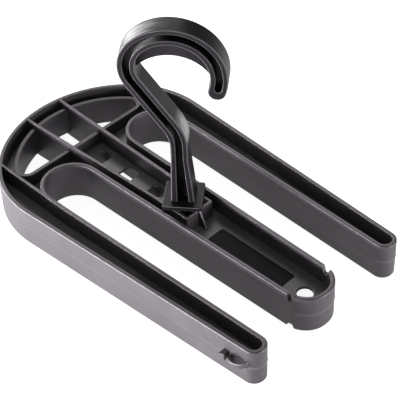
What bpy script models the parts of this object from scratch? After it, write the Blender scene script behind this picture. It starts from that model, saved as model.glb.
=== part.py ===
"""Drysuit hanger: a three-armed moulded frame, a swivelling hook that locks in it, and a blank badge.

Metres, +Z up. The arms point along +X. Plan sizes are measured from a datum line across the frame
where its slots begin, and datum_x carries them to an origin at the middle of the frame's bottom.
"""
import math

import bmesh
import bpy
from mathutils import Matrix, Vector

# Frame: heights, walls and the floor that stiffens it at half height
frame_height = 0.0435
wall_thickness = 0.0045
rib_thickness = 0.0029
floor_thickness = 0.003

# Frame outline, from the datum; the apex is the closed round end, the tips are the open end
apex_x = -0.1148
tip_x = 0.3042
centre_tip_x = 0.3001
side_y_at_datum = 0.1225
side_y_at_tip = 0.1056
slot_outer_y = 0.0888
slot_outer_y_at_tip = 0.0813
slot_taper_x = 0.030
slot_inner_y = 0.0325
slot_inner_y_at_tip = 0.0269
slot_end_x = -0.0228
crown_radius = 0.1295
crown_half_angle = 45
arm_tip_radius = 0.0119
slot_end_radius = 0.0279
taper_radius = 0.300
centre_tip_radius = 0.0262

# Ribs
arch_rib_y = 0.0913
arch_rib_start_x = -0.080
arch_rib_end_x = 0.006
long_rib_y = 0.0197
long_rib_y_at_cross = 0.0171
long_rib_bend_x = 0.078
long_rib_start_x = -0.1115
cross_wall_x = 0.1292
gusset_foot_x = 0.1405

# The bow-shaped opening in the arch, and the lower wall round it
bow_flat_x = -0.0416
bow_apex_gap = 0.0156
bow_radius = 0.1049
bow_half_angle = 50
bow_corner_radius = 0.0110
bow_wall_thickness = 0.0045
bow_rim_drop = 0.0055
bow_rim_clearance = 0.001

# Hook holes in the floor, the hole at the centre tip and the badge recess
hook_hole_first_x = -0.0215
hook_hole_pitch = 0.0419
hook_hole_count = 4
hook_hole_length = 0.0173
hook_hole_width = 0.0262
hook_hole_corner = 0.005
under_rib_offset = 0.0120
under_rib_holes = (0, 2)
tip_hole_x = 0.272
tip_hole_radius = 0.0084
tip_hole_rim_radius = 0.0106
tip_hole_rim_height = 0.0008
badge_start_x = 0.151
badge_end_x = 0.250
badge_half_width = 0.011
badge_corner = 0.003
badge_recess_depth = 0.001
fit_gap = 0.0003

# Cord notches in the centre arm's walls
notch_x = 0.277
notch_width = 0.0098
notch_foot_width = 0.0048
notch_depth_top = 0.0085
notch_depth_bottom = 0.0055

# Cord cleats on the outer arms: a post and a cup beside it
post_x = 0.2700
post_width = 0.0054
post_reach = 0.0088
post_reach_at_cup = 0.0065
post_bottom = 0.0205
post_height = 0.0092
cup_x = 0.2850
cup_length = 0.0250
cup_reach = 0.0085
cup_rim_z = 0.0235
cup_depth = 0.0130
cup_wall = 0.0024

# Hook: an I-section blade, bent over at the top, on a square foot. It stands loose in its hole, a little
# toward the tips and the far arm. The stem widens toward the foot, most of all under the bend.
hook_turn = 38
hook_slack_x = 0.002
hook_slack_y = 0.002
blade_width = 0.0173
blade_depth = 0.0224
blade_web = 0.003
groove_width = 0.0065
stem_u = -0.0013
stem_top_z = 0.1184
flare_top_z = 0.1030
blade_flare_left = 0.0018
blade_flare_right = 0.0051
groove_flare_left = 0.0006
groove_flare_right = 0.0043
stem_radius = 0.0483
stem_turn = 33.1
lean_length = 0.0618
shoulder_bend_radius = 0.0324
shoulder_bend_turn = 80.9
crown_bend_radius = 0.0462
crown_bend_turn = 150.7
groove_end_turn = 146
seat_radius = 0.0442
seat_centre_u = -0.0071
seat_centre_z = 0.1797
seat_thickness = 0.0034
foot_size = 0.040
foot_thickness = 0.0045
foot_corner = 0.0025
neck_radius = 0.0060
key_length = 0.0230
key_width = 0.0120
key_corner = 0.003
key_thickness = 0.0055

# How finely round edges are drawn, and how far cutters pass a surface
arc_step = 7.5
small_arc_step = 22.5
ball_segments = 24
ball_rings = 12
cutter_margin = 0.004
weld_distance = 0.00001
flat_angle = 0.05
smooth_angle = 30

# Surfaces
moulding_colour = (0.018, 0.018, 0.019, 1.0)
moulding_roughness = 0.38
hook_roughness = 0.36
badge_colour = (0.008, 0.008, 0.009, 1.0)
badge_roughness = 0.25

datum_x = -(apex_x + tip_x) / 2
floor_bottom = (frame_height - floor_thickness) / 2
floor_top = floor_bottom + floor_thickness
hook_x = hook_hole_first_x + hook_hole_pitch * (hook_hole_count - 1) + hook_slack_x
foot_bottom = frame_height + fit_gap
foot_top = foot_bottom + foot_thickness


def clear_scene():
    for obj in list(bpy.data.objects):
        bpy.data.objects.remove(obj, do_unlink=True)


def new_collection(name):
    group = bpy.data.collections.new(name)
    bpy.context.scene.collection.children.link(group)
    return group


def plastic(name, colour, roughness):
    """A plastic for one moulded piece."""
    material = bpy.data.materials.new(name)
    material.use_nodes = True
    shader = material.node_tree.nodes["Principled BSDF"]
    shader.inputs["Base Color"].default_value = colour
    shader.inputs["Roughness"].default_value = roughness
    shader.inputs["Metallic"].default_value = 0.0
    return material


# Outlines

def side(start, end):
    """One straight side of an outline, as a point and a direction."""
    start = Vector(start)
    return start, (Vector(end) - start).normalized()


def crossing(first, second):
    """Where two sides meet when both are drawn on."""
    point, along = first
    other, across = second
    scale = along.x * across.y - along.y * across.x
    reach = (other - point).x * across.y - (other - point).y * across.x
    return point + along * (reach / scale)


def rounded(sides, radii, inset=0.0, step=arc_step):
    """A closed outline with its interior on the left, each corner rounded, drawn inset from its sides.

    radii holds the radius of the corner where each side meets the next.
    """
    moved = [(point + Vector((-along.y, along.x)) * inset, along) for point, along in sides]
    points = []
    for index, current in enumerate(moved):
        following = moved[(index + 1) % len(moved)]
        corner = crossing(current, following)
        turn = current[1].angle_signed(following[1])
        left_turn = turn < 0
        radius = radii[index] - inset if left_turn else radii[index] + inset
        if radius <= 0:
            points.append(corner)
            continue
        run = radius * math.tan(abs(turn) / 2)
        start = corner - current[1] * run
        normal = Vector((-current[1].y, current[1].x)) * (1 if left_turn else -1)
        centre = start + normal * radius
        count = max(2, math.ceil(math.degrees(abs(turn)) / step))
        for part in range(count + 1):
            spin = abs(turn) * part / count * (1 if left_turn else -1)
            point = centre + Matrix.Rotation(spin, 2) @ (start - centre)
            if not points or (point - points[-1]).length > weld_distance:
                points.append(point)
    return points


def frame_outline(inset):
    """The frame's outside edge, down both slots and round all three arms."""
    crown_centre = Vector((apex_x + crown_radius, 0.0))
    crown_angle = math.radians(crown_half_angle)
    crown_point = crown_centre + Vector((-math.cos(crown_angle), math.sin(crown_angle))) * crown_radius
    crown_along = Vector((-math.sin(crown_angle), -math.cos(crown_angle)))
    outer_side = side((tip_x, side_y_at_tip), (0.0, side_y_at_datum))
    shoulder = crossing(outer_side, (crown_point, crown_along))
    shoulder_turn = outer_side[1].angle(crown_along)
    shoulder_radius = (shoulder - crown_point).length / math.tan(shoulder_turn / 2)
    half = [
        side((centre_tip_x, 0.0), (centre_tip_x, slot_inner_y)),
        side((centre_tip_x, slot_inner_y_at_tip), (0.0, slot_inner_y)),
        side((slot_end_x, 0.0), (slot_end_x, slot_outer_y)),
        side((0.0, slot_outer_y), (slot_taper_x, slot_outer_y)),
        side((slot_taper_x, slot_outer_y), (tip_x, slot_outer_y_at_tip)),
        side((tip_x, 0.0), (tip_x, side_y_at_datum)),
        outer_side,
        (crown_point, crown_along),
    ]
    radii = [centre_tip_radius, slot_end_radius, slot_end_radius, taper_radius, arm_tip_radius,
             arm_tip_radius, shoulder_radius, crown_radius]
    near = []
    for point, along in reversed(half[1:]):
        near.append((Vector((point.x, -point.y)), Vector((-along.x, along.y))))
    sides = half + near
    all_radii = radii + list(reversed(radii[:-1]))
    return rounded(sides, all_radii, inset)


def bow_outline(inset):
    """The bow-shaped opening, whose round side follows the arch."""
    angle = math.radians(bow_half_angle)
    centre = Vector((apex_x + bow_apex_gap + bow_radius, 0.0))
    far_point = centre + Vector((-math.cos(angle), math.sin(angle))) * bow_radius
    near_point = Vector((far_point.x, -far_point.y))
    sides = [
        side((bow_flat_x, 0.0), (bow_flat_x, bow_radius)),
        (far_point, Vector((-math.sin(angle), -math.cos(angle)))),
        (near_point, Vector((math.sin(angle), -math.cos(angle)))),
    ]
    return rounded(sides, [bow_corner_radius, bow_radius, bow_corner_radius], inset)


def rectangle(low_x, high_x, low_y, high_y, corner):
    sides = [
        side((low_x, low_y), (high_x, low_y)),
        side((high_x, low_y), (high_x, high_y)),
        side((high_x, high_y), (low_x, high_y)),
        side((low_x, high_y), (low_x, low_y)),
    ]
    return rounded(sides, [corner] * len(sides), step=small_arc_step)


def strip(start, end, thickness):
    """A straight rib's outline in plan."""
    start = Vector(start)
    end = Vector(end)
    across = (end - start).orthogonal().normalized() * thickness / 2
    return [start - across, end - across, end + across, start + across]


def mirrored(points):
    return [Vector((point.x, -point.y)) for point in reversed(points)]


def rounded_disc(x, radius):
    """A circle's outline, centred on the centre line."""
    count = math.ceil(360 / small_arc_step)
    turn = 2 * math.pi / count
    return [Vector((x + radius * math.cos(turn * i), radius * math.sin(turn * i))) for i in range(count)]


# Solids

def clean(mesh):
    """Welds a closed mesh, merges its flat triangles and turns its faces outward."""
    shape = bmesh.new()
    shape.from_mesh(mesh)
    bmesh.ops.remove_doubles(shape, verts=shape.verts, dist=weld_distance)
    bmesh.ops.dissolve_limit(shape, angle_limit=math.radians(flat_angle), verts=shape.verts, edges=shape.edges)
    bmesh.ops.recalc_face_normals(shape, faces=shape.faces)
    if shape.calc_volume(signed=True) < 0:
        bmesh.ops.reverse_faces(shape, faces=shape.faces)
    shape.to_mesh(mesh)
    shape.free()


def prism(name, points, bottom, top, group):
    """An outline filled and raised between two levels."""
    curve = bpy.data.curves.new(name, "CURVE")
    curve.dimensions = "2D"
    curve.fill_mode = "BOTH"
    curve.extrude = (top - bottom) / 2
    spline = curve.splines.new("POLY")
    spline.points.add(len(points) - 1)
    for target, point in zip(spline.points, points):
        target.co = (point.x, point.y, 0.0, 1.0)
    spline.use_cyclic_u = True
    outline = bpy.data.objects.new(name + "_outline", curve)
    bpy.context.scene.collection.objects.link(outline)
    outline.location = (0.0, 0.0, (bottom + top) / 2)
    bpy.context.view_layer.update()
    evaluated = outline.evaluated_get(bpy.context.evaluated_depsgraph_get())
    mesh = bpy.data.meshes.new_from_object(evaluated)
    mesh.transform(outline.matrix_world)
    bpy.data.objects.remove(outline, do_unlink=True)
    bpy.data.curves.remove(curve)
    clean(mesh)
    obj = bpy.data.objects.new(name, mesh)
    group.objects.link(obj)
    return obj


def ball(name, centre, size, group):
    """An ellipsoid with the given half sizes."""
    mesh = bpy.data.meshes.new(name)
    shape = bmesh.new()
    bmesh.ops.create_uvsphere(shape, u_segments=ball_segments, v_segments=ball_rings, radius=1.0)
    placing = Matrix.Translation(centre) @ Matrix.Diagonal((size.x, size.y, size.z, 1.0))
    bmesh.ops.transform(shape, matrix=placing, verts=shape.verts)
    shape.to_mesh(mesh)
    shape.free()
    obj = bpy.data.objects.new(name, mesh)
    group.objects.link(obj)
    return obj


def apply_boolean(target, tool, operation):
    """Joins or cuts target with tool, and removes the tool."""
    change = target.modifiers.new(operation, "BOOLEAN")
    change.operation = operation
    change.solver = "EXACT"
    change.object = tool
    bpy.context.view_layer.update()
    evaluated = target.evaluated_get(bpy.context.evaluated_depsgraph_get())
    mesh = bpy.data.meshes.new_from_object(evaluated)
    target.modifiers.remove(change)
    clean(mesh)
    target.data = mesh
    bpy.data.objects.remove(tool, do_unlink=True)


def join(target, *tools):
    for tool in tools:
        apply_boolean(target, tool, "UNION")


def cut(target, *tools):
    for tool in tools:
        apply_boolean(target, tool, "DIFFERENCE")


def finish(obj, material, location, group):
    """Gives a piece its material, its place and smooth shading on round faces."""
    obj.data.materials.clear()
    obj.data.materials.append(material)
    for polygon in obj.data.polygons:
        polygon.material_index = 0
    obj.location = location
    obj.data.shade_smooth()
    obj.data.set_sharp_from_angle(angle=math.radians(smooth_angle))
    if obj.name not in group.objects:
        group.objects.link(obj)


# Frame

def long_rib_half_y(x):
    """How far a long rib's middle stands from the centre line; past its bend it runs straight along."""
    share = min(x / long_rib_bend_x, 1)
    return long_rib_y + (long_rib_y_at_cross - long_rib_y) * share


def long_ribs():
    """Plan outlines of the two ribs from the arch to the cross wall's far face."""
    stations = (long_rib_start_x, long_rib_bend_x, cross_wall_x + rib_thickness / 2)
    inner = [Vector((x, long_rib_half_y(x) - rib_thickness / 2)) for x in stations]
    outer = [Vector((x, long_rib_half_y(x) + rib_thickness / 2)) for x in stations]
    long_rib = inner + list(reversed(outer))
    return [long_rib, mirrored(long_rib)]


def floor_ribs():
    """Plan outlines of every rib that crosses the floor."""
    arch_rib = strip((arch_rib_start_x, arch_rib_y), (arch_rib_end_x, arch_rib_y), rib_thickness)
    cross_wall = strip((cross_wall_x, -long_rib_y_at_cross), (cross_wall_x, long_rib_y_at_cross), rib_thickness)
    return [*long_ribs(), arch_rib, mirrored(arch_rib), cross_wall]


def under_ribs():
    """Plan outlines of the cross ribs under the floor, each just behind a hook hole and clear of the key."""
    ribs = []
    for index in under_rib_holes:
        x = hook_hole_first_x + hook_hole_pitch * index - under_rib_offset
        ribs.append(strip((x, -long_rib_half_y(x)), (x, long_rib_half_y(x)), rib_thickness))
    return ribs


def channel_cutter(name, bottom, top, cutters):
    """The space inside the frame's walls on one side of the floor, less the bow's wall."""
    space = prism(name, frame_outline(wall_thickness), bottom, top, cutters)
    low = bottom - cutter_margin
    high = top + cutter_margin
    cut(space, prism("bow_wall", bow_outline(-bow_wall_thickness / 2), low, high, cutters))
    return space


def bow_cutter(cutters):
    """The opening in the arch, wider over and under the bow's wall, which is lower than the frame's rims."""
    low = -cutter_margin
    high = frame_height + cutter_margin
    space = prism("bow", bow_outline(bow_wall_thickness / 2), low, high, cutters)
    wide = bow_outline(-bow_wall_thickness / 2 - bow_rim_clearance)
    join(space, prism("bow_under", wide, low, bow_rim_drop, cutters))
    join(space, prism("bow_over", wide, frame_height - bow_rim_drop, high, cutters))
    return space


def gusset(cutters):
    """The brace from the cross wall's top down to the floor, on the tips' side."""
    reach = cross_wall_x + rib_thickness / 2
    profile = [Vector((cross_wall_x, floor_bottom)), Vector((gusset_foot_x, floor_bottom)),
               Vector((gusset_foot_x, floor_top)), Vector((reach, frame_height)),
               Vector((cross_wall_x, frame_height))]
    brace = prism("gusset", profile, -rib_thickness / 2, rib_thickness / 2, cutters)
    brace.data.transform(Matrix.Rotation(math.radians(90), 4, "X"))
    return brace


def notch_cutter(depth, from_top, cutters):
    """A tapered notch across both walls of the centre arm."""
    edge = frame_height if from_top else 0.0
    inward = -1 if from_top else 1
    foot = edge + inward * depth
    outside = edge - inward * cutter_margin
    spread = (notch_width - notch_foot_width) / depth * cutter_margin / 2
    corners = [
        Vector((notch_x - notch_width / 2 - spread, outside)),
        Vector((notch_x - notch_foot_width / 2, foot)),
        Vector((notch_x + notch_foot_width / 2, foot)),
        Vector((notch_x + notch_width / 2 + spread, outside)),
    ]
    if not from_top:
        corners.reverse()
    tool = prism("notch", corners, -slot_inner_y, slot_inner_y, cutters)
    tool.data.transform(Matrix.Rotation(math.radians(90), 4, "X"))
    return tool


def side_half_y(x):
    """How far an outer arm's outer face stands from the centre line."""
    return side_y_at_datum + (side_y_at_tip - side_y_at_datum) * x / tip_x


def cleat_pieces(hand, cutters):
    """The post and the cup on one outer arm; hand is 1 on the far arm and -1 on the near one."""
    face_y = side_half_y(post_x)
    cup_face_y = side_half_y(cup_x)
    root_y = face_y - wall_thickness / 2
    low_x = post_x - post_width / 2
    high_x = post_x + post_width / 2
    plan = [Vector((low_x, root_y)), Vector((high_x, root_y)),
            Vector((high_x, face_y + post_reach_at_cup)), Vector((low_x, face_y + post_reach))]
    if hand < 0:
        plan = mirrored(plan)
    post = prism("post", plan, post_bottom, post_bottom + post_height, cutters)
    centre = Vector((cup_x, hand * cup_face_y, cup_rim_z))
    outer_size = Vector((cup_length / 2, cup_reach, cup_depth))
    inner_size = outer_size - Vector((cup_wall, cup_wall, cup_wall))
    cup = ball("cup", centre, outer_size, cutters)
    upper = rectangle(cup_x - cup_length, cup_x + cup_length, -side_y_at_datum - cup_length,
                      side_y_at_datum + cup_length, 0.0)
    cut(cup, prism("cup_top", upper, cup_rim_z, cup_rim_z + cup_depth + cutter_margin, cutters))
    cut(cup, ball("cup_hollow", centre, inner_size, cutters))
    inside = rectangle(cup_x - cup_length, cup_x + cup_length, 0.0, cup_face_y - wall_thickness / 2, 0.0)
    if hand < 0:
        inside = mirrored(inside)
    cut(cup, prism("cup_root", inside, 0.0, frame_height, cutters))
    return [post, cup]


def make_frame(material, parts, cutters):
    """One moulding: walls, floor, ribs, holes, cord notches and cord cleats."""
    body = prism("frame", frame_outline(0.0), 0.0, frame_height, parts)
    cut(body, channel_cutter("channel_top", floor_top, frame_height + cutter_margin, cutters))
    cut(body, channel_cutter("channel_bottom", -cutter_margin, floor_bottom, cutters))
    cut(body, bow_cutter(cutters))
    for points in floor_ribs():
        rib = prism("rib", points, 0.0, frame_height, cutters)
        between_walls = prism("between_walls", frame_outline(wall_thickness / 2), -cutter_margin,
                              frame_height + cutter_margin, cutters)
        apply_boolean(rib, between_walls, "INTERSECT")
        join(body, rib)
    for points in under_ribs():
        join(body, prism("under_rib", points, 0.0, floor_bottom + floor_thickness / 2, cutters))
    join(body, gusset(cutters))
    rim = rounded_disc(tip_hole_x, tip_hole_rim_radius)
    join(body, prism("rim", rim, floor_bottom, floor_top + tip_hole_rim_height, cutters))
    hole = rounded_disc(tip_hole_x, tip_hole_radius)
    cut(body, prism("tip_hole", hole, 0.0, frame_height, cutters))
    for index in range(hook_hole_count):
        middle = hook_hole_first_x + hook_hole_pitch * index
        opening = rectangle(middle - hook_hole_length / 2, middle + hook_hole_length / 2,
                            -hook_hole_width / 2, hook_hole_width / 2, hook_hole_corner)
        cut(body, prism("hook_hole", opening, 0.0, frame_height, cutters))
    recess = rectangle(badge_start_x, badge_end_x, -badge_half_width, badge_half_width, badge_corner)
    cut(body, prism("recess", recess, floor_top - badge_recess_depth, frame_height, cutters))
    cut(body, notch_cutter(notch_depth_top, True, cutters))
    cut(body, notch_cutter(notch_depth_bottom, False, cutters))
    for hand in (1, -1):
        join(body, *cleat_pieces(hand, cutters))
    finish(body, material, (datum_x, 0.0, 0.0), parts)
    return body


# Badge

def make_badge(material, parts):
    """A blank plate set flush in the centre arm's recess."""
    outline = rectangle(badge_start_x + fit_gap, badge_end_x - fit_gap, -badge_half_width + fit_gap,
                        badge_half_width - fit_gap, badge_corner - fit_gap)
    badge = prism("badge", outline, floor_top - badge_recess_depth + fit_gap, floor_top, parts)
    finish(badge, material, (datum_x, 0.0, 0.0), parts)
    return badge


# Hook

def arc(points, place, heading, radius, turn, offset):
    """Adds a bend to a path and returns where it ends; a positive turn is to the left."""
    hand = 1 if turn > 0 else -1
    left = Vector((-math.sin(heading), math.cos(heading)))
    centre = place + left * radius * hand
    count = max(2, math.ceil(abs(turn) / arc_step))
    for part in range(count + 1):
        angle = heading + math.radians(turn) * part / count
        left = Vector((-math.sin(angle), math.cos(angle)))
        points.append(centre - left * radius * hand + left * offset)
    end = heading + math.radians(turn)
    left = Vector((-math.sin(end), math.cos(end)))
    return centre - left * radius * hand, end


def blade_edge(offset, flare, start_z, last_turn):
    """One edge of the blade from its foot to its tip, offset to the left of the middle line.

    flare is how far it moves out on the way from flare_top_z down to the foot.
    """
    heading = math.radians(90)
    place = Vector((stem_u, stem_top_z))
    out = flare * (flare_top_z - start_z) / (flare_top_z - foot_top)
    points = [Vector((stem_u - offset - math.copysign(out, offset), start_z)), Vector((stem_u - offset, flare_top_z))]
    place, heading = arc(points, place, heading, stem_radius, stem_turn, offset)
    place = place + Vector((math.cos(heading), math.sin(heading))) * lean_length
    place, heading = arc(points, place, heading, shoulder_bend_radius, -shoulder_bend_turn, offset)
    place, heading = arc(points, place, heading, crown_bend_radius, -last_turn, offset)
    return points, place, heading


def blade_outline(width, flare_left, flare_right, start_z, last_turn):
    """The blade's outline in its own plane, with a round end."""
    left, place, heading = blade_edge(width / 2, flare_left, start_z, last_turn)
    right = blade_edge(-width / 2, flare_right, start_z, last_turn)[0]
    end = []
    count = math.ceil(180 / small_arc_step)
    for part in range(1, count):
        angle = heading + math.radians(90) - math.pi * part / count
        end.append(place + Vector((math.cos(angle), math.sin(angle))) * width / 2)
    return list(reversed(left + end + list(reversed(right))))


def seat_outline():
    """The web that fills the top of the bend down to the line where a rail bears."""
    centre = Vector((seat_centre_u, seat_centre_z))
    inner = []
    outer = []
    points = blade_edge(-groove_width / 2, groove_flare_right, foot_top, crown_bend_turn)[0]
    for point in points:
        away = point - centre
        if away.length > seat_radius and point.y > seat_centre_z:
            outer.append(point)
            inner.append(centre + away.normalized() * seat_radius)
    return list(reversed(outer + list(reversed(inner))))


def upright(obj):
    """Stands a shape drawn flat up in the plane of the hook's blade."""
    obj.data.transform(Matrix.Rotation(math.radians(90), 4, "X"))
    return obj


def make_hook(material, parts, cutters):
    """One moulding: blade with a groove on each face, rail seat, foot, neck and locking key."""
    half = blade_depth / 2
    root_z = foot_bottom + foot_thickness / 2
    blade = blade_outline(blade_width, blade_flare_left, blade_flare_right, root_z, crown_bend_turn)
    body = upright(prism("hook", blade, -half, half, parts))
    groove = blade_outline(groove_width, groove_flare_left, groove_flare_right, foot_bottom, groove_end_turn)
    for low, high in ((-half - cutter_margin, -blade_web / 2), (blade_web / 2, half + cutter_margin)):
        cut(body, upright(prism("groove", groove, low, high, cutters)))
    join(body, upright(prism("seat", seat_outline(), -seat_thickness / 2, seat_thickness / 2, cutters)))
    foot = rectangle(-foot_size / 2, foot_size / 2, -foot_size / 2, foot_size / 2, foot_corner)
    join(body, prism("foot", foot, foot_bottom, foot_top, cutters))
    key_top = floor_bottom - fit_gap
    key_bottom = key_top - key_thickness
    neck = rounded_disc(0.0, neck_radius)
    join(body, prism("neck", neck, key_bottom + key_thickness / 2, root_z, cutters))
    key = rectangle(-key_length / 2, key_length / 2, -key_width / 2, key_width / 2, key_corner)
    join(body, prism("key", key, key_bottom, key_top, cutters))
    body.data.transform(Matrix.Rotation(math.radians(hook_turn), 4, "Z"))
    finish(body, material, (datum_x + hook_x, hook_slack_y, 0.0), parts)
    return body


def main():
    clear_scene()
    parts = new_collection("drysuit_hanger")
    cutters = new_collection("cutters")
    make_frame(plastic("moulded_black", moulding_colour, moulding_roughness), parts, cutters)
    make_hook(plastic("hook_black", moulding_colour, hook_roughness), parts, cutters)
    make_badge(plastic("badge_black", badge_colour, badge_roughness), parts)


main()
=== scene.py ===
"""Drysuit hanger in a plain studio: a moulded frame, its swivelling hook and a blank badge."""
import math

import bmesh
import bpy
from mathutils import Matrix, Vector
from mathutils.geometry import delaunay_2d_cdt


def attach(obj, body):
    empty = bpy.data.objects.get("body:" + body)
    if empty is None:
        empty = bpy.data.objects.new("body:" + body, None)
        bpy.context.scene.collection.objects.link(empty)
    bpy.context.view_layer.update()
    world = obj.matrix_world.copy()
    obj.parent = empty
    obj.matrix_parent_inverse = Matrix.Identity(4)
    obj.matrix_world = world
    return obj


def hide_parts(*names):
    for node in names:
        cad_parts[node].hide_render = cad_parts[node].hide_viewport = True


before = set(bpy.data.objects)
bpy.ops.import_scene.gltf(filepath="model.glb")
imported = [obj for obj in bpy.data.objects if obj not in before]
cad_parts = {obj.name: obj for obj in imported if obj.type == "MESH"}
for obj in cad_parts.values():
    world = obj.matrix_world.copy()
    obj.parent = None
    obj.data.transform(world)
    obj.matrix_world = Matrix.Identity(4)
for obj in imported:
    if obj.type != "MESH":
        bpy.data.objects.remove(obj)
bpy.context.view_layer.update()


# Camera
# A long lens that looks down across the hanger from beyond its near open end.

camera_place = (0.7798, -0.7238, 1.0046)
camera_turn = (0.83055, 0.025519, 0.775247)
camera_lens = 126.43
sensor_width = 36.0

camera_data = bpy.data.cameras.new("camera")
camera_data.lens = camera_lens
camera_data.sensor_width = sensor_width
camera = bpy.data.objects.new("camera", camera_data)
camera.location = camera_place
camera.rotation_euler = camera_turn
bpy.context.scene.collection.objects.link(camera)
bpy.context.scene.camera = camera


# Frame moulding
# One heavy injection moulding of satin black plastic: walls round three arms, a floor at half height that
# carries the hook's holes, and ribs across the arch. The mould parts at half height, which leaves a line round
# the tips.

frame_height = 0.0435
wall_thickness = 0.0045
rib_thickness = 0.0029
floor_thickness = 0.003
apex_x = -0.1148
tip_x = 0.3042
centre_tip_x = 0.3001
side_y_at_datum = 0.1225
side_y_at_tip = 0.1056
slot_outer_y = 0.0888
slot_outer_y_at_tip = 0.0813
slot_taper_x = 0.030
slot_inner_y = 0.0325
slot_inner_y_at_tip = 0.0269
slot_end_x = -0.0228
crown_radius = 0.1295
crown_half_angle = 45
arm_tip_radius = 0.0119
slot_end_radius = 0.0279
taper_radius = 0.300
centre_tip_radius = 0.0262
arch_rib_y = 0.0913
arch_rib_start_x = -0.080
arch_rib_end_x = 0.006
long_rib_y = 0.0197
long_rib_y_at_cross = 0.0171
long_rib_bend_x = 0.078
long_rib_start_x = -0.1115
cross_wall_x = 0.1292
gusset_foot_x = 0.1405
bow_flat_x = -0.0416
bow_centre_x = 0.0057
bow_radius = 0.1049
bow_half_angle = 50
bow_corner_radius = 0.0110
bow_wall_thickness = 0.0045
bow_rim_drop = 0.0055
curve_step = 3.0
small_step = 11.25
rim_outer_width = 0.0017
rim_outer_drop = 0.0015
rim_inner_radius = 0.0007
rim_steps = 5
corner_fillet = 0.0013
corner_turn = 20
parting_height = 0.00045
parting_half_width = 0.0008
parting_shoulder_share = 0.9
parting_start_x = 0.276
parting_full_x = 0.286
floor_bottom = (frame_height - floor_thickness) / 2
floor_top = floor_bottom + floor_thickness
datum_x = -(apex_x + tip_x) / 2
middle_z = frame_height / 2
same_place = 0.000002
straight_turn = 0.0005
level_face = 0.9
corner_room = 0.45
least_mitre = 0.5

# The plastic has a fine grain from the mould, faint flow marks and a few rubbed patches where hands and rails
# touch it. The rims are a little smoother than the walls.
moulding_colour = (0.046, 0.041, 0.047, 1.0)
rubbed_colour = (0.062, 0.057, 0.063, 1.0)
plastic_tint = (1.0, 0.92, 1.0, 1.0)
moulding_roughness_low = 0.46
moulding_roughness_high = 0.54
moulding_specular = 1.0
grain_scale = 1400.0
grain_detail = 1.0
grain_depth = 0.00002
grain_strength = 0.6
smooth_grain_strength = 0.05
flow_scale = 9.0
flow_detail = 3.0
flow_range = (0.35, 0.65)
rub_scale = 38.0
rub_detail = 6.0
rub_range = (0.52, 0.72)
scratch_scale = 210.0
scratch_detail = 2.0
scratch_range = (0.3, 0.7)
scratch_roughness = 0.03
scratch_length = 8.3
# Pale streaked patches on outward faces are painted highlights.
highlight_patch_colour = (0.38, 0.37, 0.38, 1.0)
highlight_patch_core_share = 0.4
highlight_patch_streak_range = (0.35, 0.6)
highlight_patch_least = 0.25
outward_range = (0.3, 0.7)
# Marked rounded edges are painted this paler colour as a highlight, and are smoother.
edge_highlight_colour = (0.100, 0.094, 0.100, 1.0)
edge_highlight_roughness = 0.34
polish_start_share = 0.90
polish_full_share = 0.94
upward_range = (0.8, 0.95)
# How the floor's pale tint, partly dust and partly painted light, falls to a lower share past the cross wall.
dust_and_sheen_fade = 0.02
dust_and_sheen_beyond = 0.45


def feed(tree, node, inputs):
    """Gives a node its inputs, each of them a socket or a plain value."""
    for entry, value in inputs.items():
        if isinstance(value, bpy.types.NodeSocket):
            tree.links.new(value, node.inputs[entry])
        else:
            node.inputs[entry].default_value = value


def added(tree, kind, output, inputs, **settings):
    """Adds a node and returns one of its outputs."""
    node = tree.nodes.new(kind)
    for name, value in settings.items():
        setattr(node, name, value)
    feed(tree, node, inputs)
    return node.outputs[output]


def noise(tree, place, scale, detail):
    return added(tree, "ShaderNodeTexNoise", "Fac", {"Vector": place, "Scale": scale, "Detail": detail})


def ramp(tree, source, low, high, start, end):
    """A number that follows source from start to end while source goes from low to high."""
    return added(tree, "ShaderNodeMapRange", "Result", {
        "Value": source, "From Min": low, "From Max": high, "To Min": start, "To Max": end})


def blended(tree, kind, share, first, second):
    """First where share is 0 and second where it is 1."""
    return added(tree, "ShaderNodeMix", "Result", {"Factor": share, "A": first, "B": second}, data_type=kind)


def maths(tree, operation, *values):
    return added(tree, "ShaderNodeMath", "Value", dict(enumerate(values)), operation=operation)


def measured(tree, operation, first, second):
    return added(tree, "ShaderNodeVectorMath", "Value", {0: first, 1: second}, operation=operation)


def part_of(tree, vector, axis):
    return added(tree, "ShaderNodeSeparateXYZ", axis, {"Vector": vector})


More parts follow.
